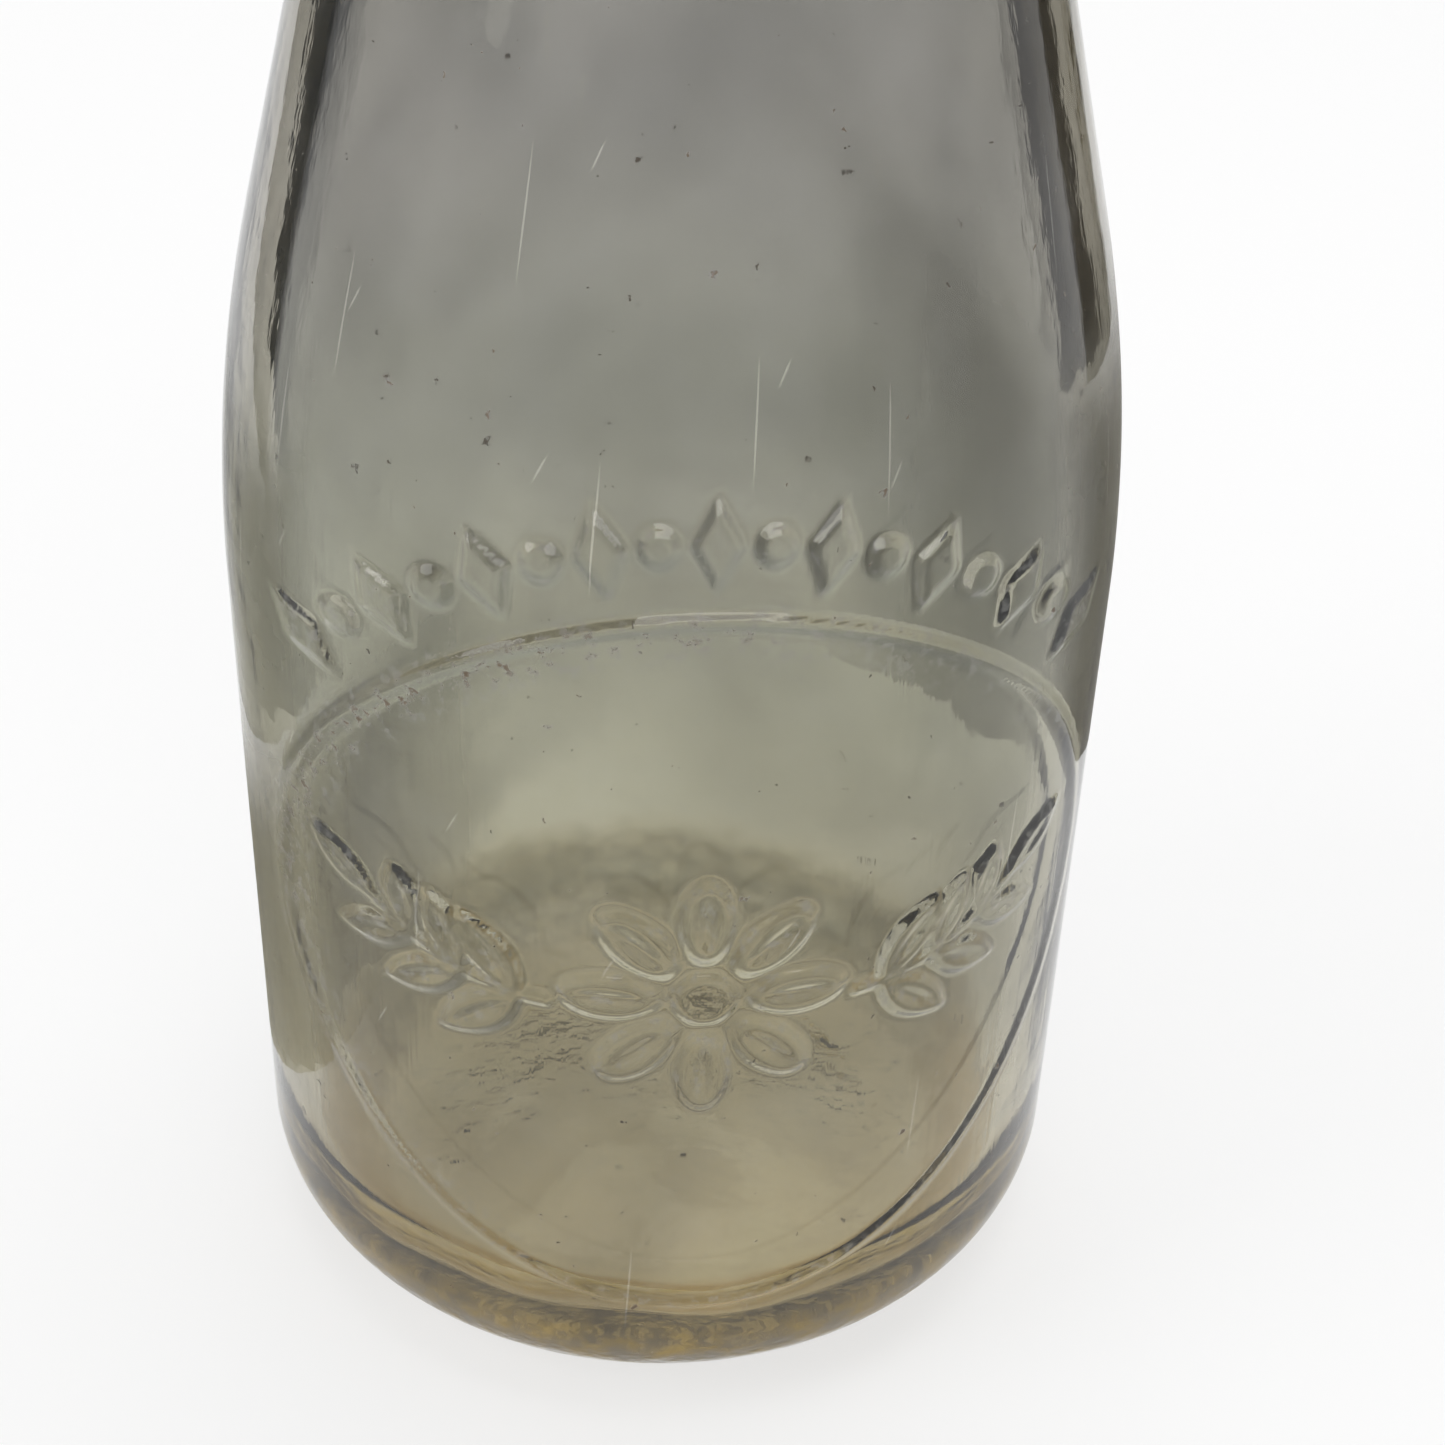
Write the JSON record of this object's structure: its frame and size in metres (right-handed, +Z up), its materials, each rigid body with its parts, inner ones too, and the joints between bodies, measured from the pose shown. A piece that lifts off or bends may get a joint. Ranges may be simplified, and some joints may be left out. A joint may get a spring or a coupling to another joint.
{
  "type": "glass milk bottle",
  "caption": "Round half-pint milk bottle of thick glass with a sloping shoulder, a rolled lip, a raised ring on its front and a seated paper plug cap with a pull tab.",
  "frame": {"origin": "centre of the ring that the bottle stands on, on the table's plane", "axes": "+Z up along the bottle's axis, -Y out of the front with the raised ring, +X to the right as seen from the front"},
  "size_m": [0.064, 0.0645, 0.1397],
  "materials": {
    "bottle_glass": "gloss",
    "cap_board": "satin",
    "tab_paper": "matte",
    "staple_wire": "satin"
  },
  "bodies": {
    "bottle": {"glass_bottle": "bottle_glass"},
    "cap": {"cap_disc": "cap_board", "pull_tab_foot": "tab_paper", "tab_staple": "staple_wire"},
    "tab": {"pull_tab_flap": "tab_paper"}
  },
  "joints": [
    {"name": "cap_lift", "type": "slide", "parent": "bottle", "child": "cap", "axis": [0, 0, 1], "range_m": [0, 0.06]},
    {"name": "tab_lift", "type": "hinge", "parent": "cap", "child": "tab", "pos_m": [0, 0, 0.13515], "axis": [1, 0, 0], "range_deg": [0, 110]}
  ]
}
